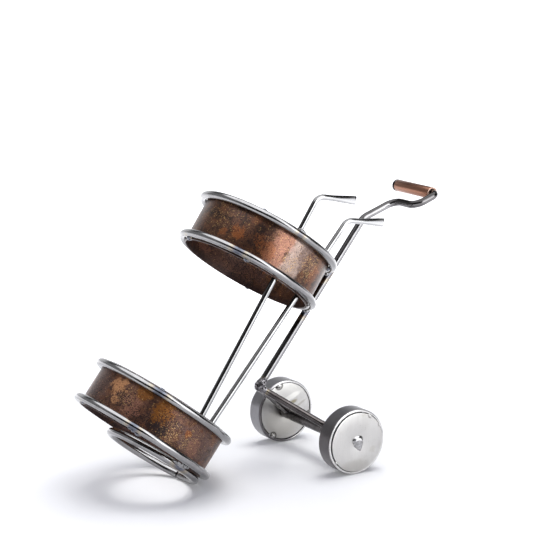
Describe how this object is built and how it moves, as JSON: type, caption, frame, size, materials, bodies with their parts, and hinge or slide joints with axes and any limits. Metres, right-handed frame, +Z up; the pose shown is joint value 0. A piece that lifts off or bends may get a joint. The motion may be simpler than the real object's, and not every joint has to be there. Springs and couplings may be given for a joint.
{
  "type": "tabletop wine rack",
  "caption": "Leaning bottle holder shaped like a golf trolley, with wire-hooped copper bands, a seat ring, golf clubs, a handle and disc wheels.",
  "frame": {"origin": "middle of the underside of the whole object's box, on the table", "axes": "+X from the bag's foot towards the wheels and handle, +Y to the far side, away from the clubs, +Z up"},
  "size_m": [0.2434, 0.1028, 0.1777],
  "materials": {
    "steel_wire": "lacquered bright wire",
    "dark_steel": "darkened and lacquered",
    "wheel_steel": "satin, lilac grey",
    "disc_steel": "pale satin sheet",
    "weld_metal": "rippled weld bead, heat tinted at its edge",
    "aged_copper": "mottled brown flame-patinated copper",
    "bright_copper": "satin copper, darker along the middle"
  },
  "bodies": {
    "frame": {"axle_tube": "dark_steel", "far_fork_arm": "dark_steel", "far_fork_arm_weld": "weld_metal", "fork_junction_weld": "weld_metal", "golf_club_long": "steel_wire", "golf_club_short": "steel_wire", "grip_end_cap": "dark_steel", "long_club_lower_weld": "weld_metal", "long_club_upper_weld": "weld_metal", "lower_band": "aged_copper", "lower_band_bottom_hoop": "steel_wire", "lower_band_top_hoop": "steel_wire", "near_fork_arm": "dark_steel", "near_fork_arm_weld": "weld_metal", "seat_ring": "steel_wire", "seat_ring_weld": "weld_metal", "short_club_lower_weld": "weld_metal", "short_club_upper_weld": "weld_metal", "spine_and_handle": "steel_wire", "spine_lower_hoop_weld": "weld_metal", "spine_upper_hoop_weld": "weld_metal", "upper_band": "aged_copper", "upper_band_bottom_hoop": "steel_wire", "upper_band_top_hoop": "steel_wire"},
    "wheelset": {"wheel_spindle": "steel_wire", "near_wheel_rim": "wheel_steel", "near_wheel_inner_disc": "disc_steel", "near_wheel_outer_disc": "disc_steel", "near_hub_weld": "weld_metal", "far_wheel_rim": "wheel_steel", "far_wheel_inner_disc": "disc_steel", "far_wheel_outer_disc": "disc_steel", "far_hub_weld": "weld_metal"},
    "grip": {"grip_sleeve": "bright_copper"}
  },
  "joints": [
    {"name": "wheelset_spin", "type": "hinge", "parent": "frame", "child": "wheelset", "pos_m": [0.04007, -0.00247, 0.0208], "axis": [0, 1, 0], "continuous": true},
    {"name": "grip_spin", "type": "hinge", "parent": "frame", "child": "grip", "pos_m": [0.11784, -0.00197, 0.16669], "axis": [0, 1, 0], "continuous": true}
  ]
}
